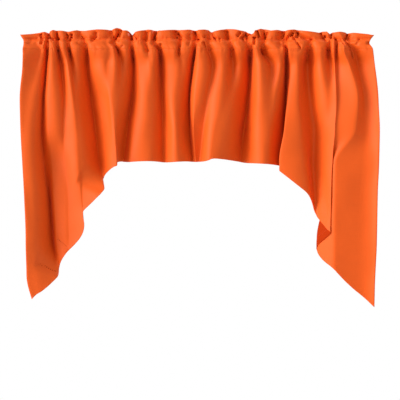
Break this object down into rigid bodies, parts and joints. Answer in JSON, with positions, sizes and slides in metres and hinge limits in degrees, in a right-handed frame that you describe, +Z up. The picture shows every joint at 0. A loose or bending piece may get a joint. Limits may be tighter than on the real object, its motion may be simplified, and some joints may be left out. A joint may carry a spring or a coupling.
{
  "type": "window swag",
  "caption": "Gathered window swag with a shallow arch, a long pointed tail at each side, a rod pocket and a standing ruffle.",
  "frame": {"origin": "axis of the rod pocket, at mid width", "axes": "+X along the rod towards the right tail, +Y to the back (the front faces -Y), +Z up"},
  "size_m": [1.2179, 0.1211, 0.9484],
  "materials": {
    "cloth": "plain-weave cloth, matt, solid orange",
    "heading_cloth": "the same plain-weave cloth, doubled, stitched and gathered"
  },
  "bodies": {
    "root": {"swag": "cloth", "heading": "heading_cloth"}
  },
  "joints": []
}
